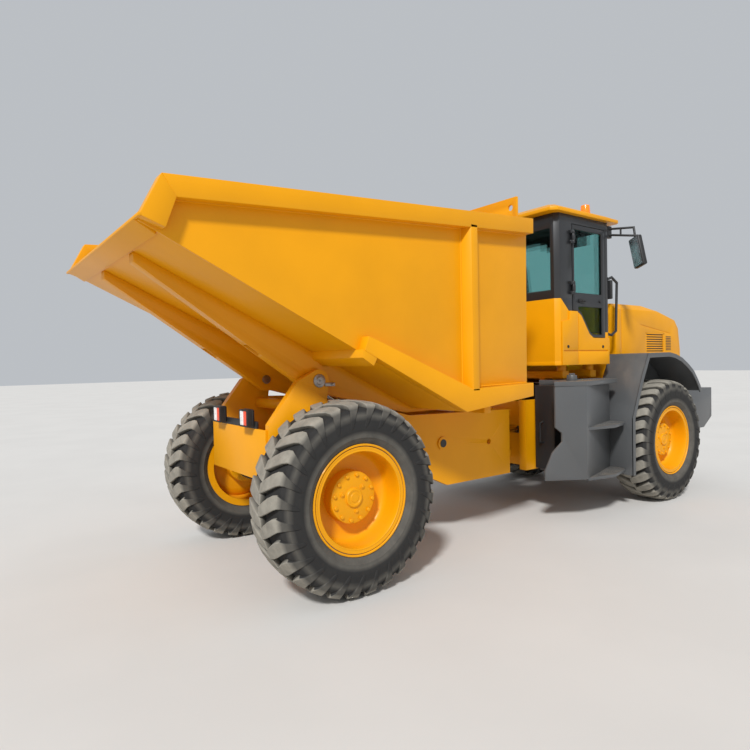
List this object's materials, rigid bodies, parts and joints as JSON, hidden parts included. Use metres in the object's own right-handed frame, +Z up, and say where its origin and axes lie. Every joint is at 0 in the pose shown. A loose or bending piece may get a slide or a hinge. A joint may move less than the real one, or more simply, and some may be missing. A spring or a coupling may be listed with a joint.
{
  "type": "articulated mining dump truck",
  "caption": "Low articulated mining dump truck: engine and cab on the front frame, scow-ended tipping body on the rear frame, with the steering hinge between them.",
  "frame": {"origin": "middle of the machine's length and width, on the ground", "axes": "+X to the engine hood (the way it drives), +Y to its left, +Z up"},
  "size_m": [6.75, 2.18, 3.015],
  "materials": {
    "body_yellow": "semi-gloss",
    "chassis_grey": "satin",
    "cab_dark": "satin",
    "grille_black": "matte",
    "engine_grey": "as cast",
    "axle_iron": "painted",
    "pin_steel": "brushed",
    "rod_chrome": "polished",
    "tyre": "matte",
    "window_glass": "clear",
    "seat_fabric": "woven",
    "trim_plastic": "matte",
    "lamp_lens": "gloss",
    "beacon_amber": "gloss"
  },
  "bodies": {
    "rear_chassis": {"rear_rails": "body_yellow", "rear_cross_members": "body_yellow", "pivot_pins": "pin_steel", "rear_axle": "axle_iron", "tail_lamps": "lamp_lens"},
    "front_chassis": {"front_side_plates": "body_yellow", "front_cross_members": "body_yellow", "front_axle": "axle_iron", "front_driveshaft": "pin_steel", "powertrain_block": "engine_grey", "counterweight": "chassis_grey", "headlamps": "lamp_lens", "step_tanks": "chassis_grey", "front_fenders": "chassis_grey", "hood_cowl": "body_yellow", "cab_tub": "body_yellow", "cab_frame": "cab_dark", "cab_roof": "body_yellow", "cab_glass": "window_glass", "driver_seat": "seat_fabric", "dash_console": "trim_plastic", "mirrors_and_rails": "trim_plastic", "beacon": "beacon_amber"},
    "hood": {"hood_shell": "body_yellow", "hood_grilles": "grille_black"},
    "door_leaf_right": {"door_right": "cab_dark", "door_glass_right": "window_glass"},
    "door_leaf_left": {"door_left": "cab_dark", "door_glass_left": "window_glass"},
    "dump_bed": {"dump_body": "body_yellow", "dump_underframe": "body_yellow"},
    "hoist_tubes": {"hoist_barrels": "chassis_grey"},
    "hoist_pistons": {"hoist_rods": "rod_chrome"},
    "steer_tube_right": {"steer_barrel_right": "chassis_grey"},
    "steer_piston_right": {"steer_rod_right": "rod_chrome"},
    "steer_tube_left": {"steer_barrel_left": "chassis_grey"},
    "steer_piston_left": {"steer_rod_left": "rod_chrome"},
    "wheel_rear_right": {"tyre_rear_right": "tyre", "rim_rear_right": "body_yellow"},
    "wheel_rear_left": {"tyre_rear_left": "tyre", "rim_rear_left": "body_yellow"},
    "wheel_front_right": {"tyre_front_right": "tyre", "rim_front_right": "body_yellow"},
    "wheel_front_left": {"tyre_front_left": "tyre", "rim_front_left": "body_yellow"}
  },
  "joints": [
    {"name": "articulation", "type": "hinge", "parent": "rear_chassis", "child": "front_chassis", "pos_m": [0.175, 0, 0.76], "axis": [0, 0, 1], "range_deg": [-36, 36]},
    {"name": "tip", "type": "hinge", "parent": "rear_chassis", "child": "dump_bed", "pos_m": [-2.015, 0, 1.37], "axis": [0, -1, 0], "range_deg": [0, 60]},
    {"name": "hoist_swing", "type": "hinge", "parent": "rear_chassis", "child": "hoist_tubes", "pos_m": [-0.844, 0, 0.812], "axis": [0, -1, 0], "range_deg": [-14, 1]},
    {"name": "hoist_stroke", "type": "slide", "parent": "hoist_tubes", "child": "hoist_pistons", "axis": [-0.8529, 0, 0.522], "range_m": [-0.001, 0.3]},
    {"name": "steer_swing_right", "type": "hinge", "parent": "front_chassis", "child": "steer_tube_right", "pos_m": [0.855, -0.23, 0.8], "axis": [0, 0, 1], "range_deg": [-7, 7]},
    {"name": "steer_stroke_right", "type": "slide", "parent": "steer_tube_right", "child": "steer_piston_right", "axis": [-1, 0, 0], "range_m": [-0.142, 0.142]},
    {"name": "steer_swing_left", "type": "hinge", "parent": "front_chassis", "child": "steer_tube_left", "pos_m": [0.855, 0.23, 0.8], "axis": [0, 0, 1], "range_deg": [-7, 7]},
    {"name": "steer_stroke_left", "type": "slide", "parent": "steer_tube_left", "child": "steer_piston_left", "axis": [-1, 0, 0], "range_m": [-0.142, 0.142]},
    {"name": "wheel_rear_right_spin", "type": "hinge", "parent": "rear_chassis", "child": "wheel_rear_right", "pos_m": [-2.045, -0.863, 0.627], "axis": [0, 1, 0], "continuous": true},
    {"name": "wheel_rear_left_spin", "type": "hinge", "parent": "rear_chassis", "child": "wheel_rear_left", "pos_m": [-2.045, 0.863, 0.627], "axis": [0, 1, 0], "continuous": true},
    {"name": "wheel_front_right_spin", "type": "hinge", "parent": "front_chassis", "child": "wheel_front_right", "pos_m": [1.901, -0.863, 0.627], "axis": [0, 1, 0], "continuous": true},
    {"name": "wheel_front_left_spin", "type": "hinge", "parent": "front_chassis", "child": "wheel_front_left", "pos_m": [1.901, 0.863, 0.627], "axis": [0, 1, 0], "continuous": true},
    {"name": "hood_lift", "type": "hinge", "parent": "front_chassis", "child": "hood", "pos_m": [1.71, 0, 2.104], "axis": [0, -1, 0], "range_deg": [0, 45]},
    {"name": "door_right_swing", "type": "hinge", "parent": "front_chassis", "child": "door_leaf_right", "pos_m": [0.652, -0.738, 2.2], "axis": [0, 0, -1], "range_deg": [0, 95]},
    {"name": "door_left_swing", "type": "hinge", "parent": "front_chassis", "child": "door_leaf_left", "pos_m": [0.652, 0.738, 2.2], "axis": [0, 0, 1], "range_deg": [0, 95]}
  ],
  "couplings": [
    {"joint": "hoist_swing", "follows": "tip", "ratio": -0.228},
    {"joint": "hoist_stroke", "follows": "tip", "m_per_rad": 0.28457},
    {"joint": "steer_swing_right", "follows": "articulation", "ratio": -0.174},
    {"joint": "steer_stroke_right", "follows": "articulation", "m_per_rad": 0.2217},
    {"joint": "steer_swing_left", "follows": "articulation", "ratio": -0.174},
    {"joint": "steer_stroke_left", "follows": "articulation", "m_per_rad": -0.2217}
  ]
}
